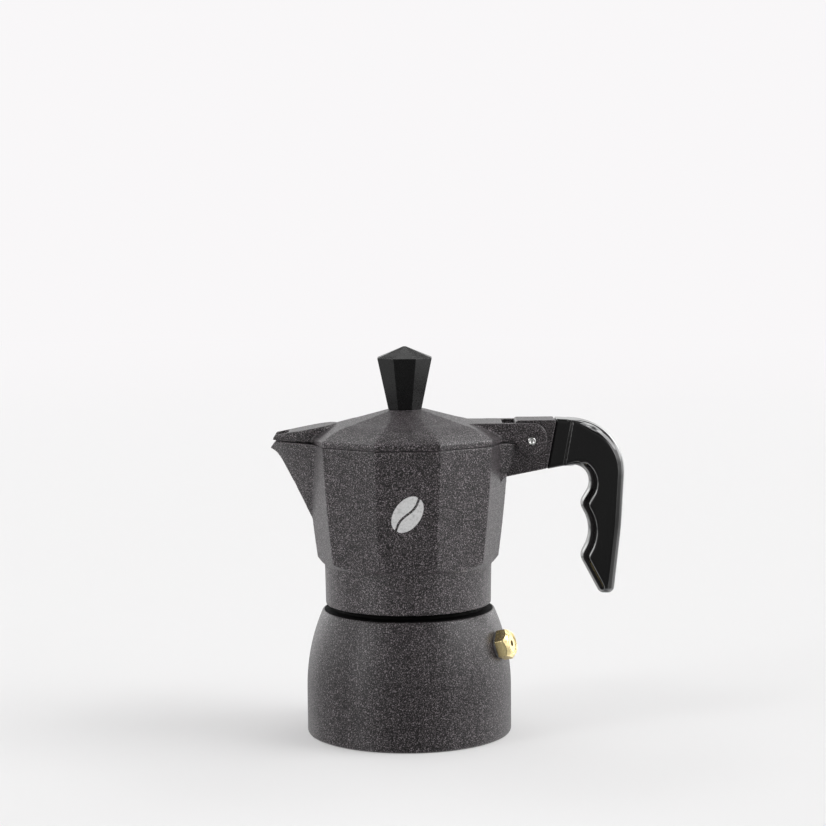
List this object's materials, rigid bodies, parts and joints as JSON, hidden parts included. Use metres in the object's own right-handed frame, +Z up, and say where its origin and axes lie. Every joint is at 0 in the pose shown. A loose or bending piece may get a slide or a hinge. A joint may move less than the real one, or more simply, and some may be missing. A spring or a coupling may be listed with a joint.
{
  "type": "moka pot",
  "caption": "Stovetop moka pot: round boiler, screw-on faceted jug with V spout, hinged lid with faceted knob, and a finger-grip side handle.",
  "frame": {"origin": "centre of the boiler's flat foot, on the boiler's axis", "axes": "+Z up along the boiler's axis, +X towards the handle, -X towards the spout, +Y completes a right-handed frame"},
  "size_m": [0.1357, 0.0788, 0.149],
  "materials": {
    "cast_coat": "cast aluminium with a satin, speckled anthracite stove enamel",
    "handle_plastic": "gloss black moulded plastic",
    "knob_plastic": "satin black moulded plastic",
    "brass": "machined brass",
    "steel": "zinc-plated steel",
    "pin_steel": "turned stainless steel",
    "spring_steel": "drawn spring wire",
    "aluminium": "deep-drawn aluminium",
    "strainer": "punched aluminium sheet",
    "gasket": "off-white silicone",
    "valve_washer": "soft aluminium sealing washer"
  },
  "bodies": {
    "base": {"boiler": "cast_coat", "valve_washer": "valve_washer", "valve_body": "brass", "valve_disc": "brass", "valve_spring": "spring_steel"},
    "funnel_set": {"funnel_basket": "aluminium", "funnel_stem": "aluminium", "funnel_strainer": "strainer"},
    "valve_pin": {"valve_plunger": "steel"},
    "seal_set": {"gasket": "gasket", "filter_plate": "strainer"},
    "jug": {"upper_chamber": "cast_coat", "hinge_pin": "pin_steel", "handle": "handle_plastic", "handle_screw": "steel"},
    "lid_set": {"lid": "cast_coat", "knob": "knob_plastic", "knob_insert": "brass", "knob_washer": "steel", "knob_screw": "steel"}
  },
  "joints": [
    {"name": "funnel_turn", "type": "hinge", "parent": "base", "child": "funnel_set", "pos_m": [0, 0, 0.0605], "axis": [0, 0, 1], "continuous": true},
    {"name": "thread_rise", "type": "slide", "parent": "base", "child": "seal_set", "axis": [0, 0, 1], "range_m": [0, 0.01]},
    {"name": "jug_unscrew", "type": "hinge", "parent": "seal_set", "child": "jug", "pos_m": [0, 0, 0.05], "axis": [0, 0, 1], "range_deg": [0, 900]},
    {"name": "lid_hinge", "type": "hinge", "parent": "jug", "child": "lid_set", "pos_m": [0.0473, 0, 0.1132], "axis": [0, 1, 0], "range_deg": [0, 105]},
    {"name": "valve_lift", "type": "slide", "parent": "base", "child": "valve_pin", "axis": [0.8972, -0.3716, 0.2385], "range_m": [0, 0.0015], "stiffness_N_per_m": 900, "springref_m": -0.002, "deforming": ["valve_spring"]}
  ],
  "couplings": [
    {"joint": "thread_rise", "follows": "jug_unscrew", "m_per_rad": 0.00063662}
  ]
}
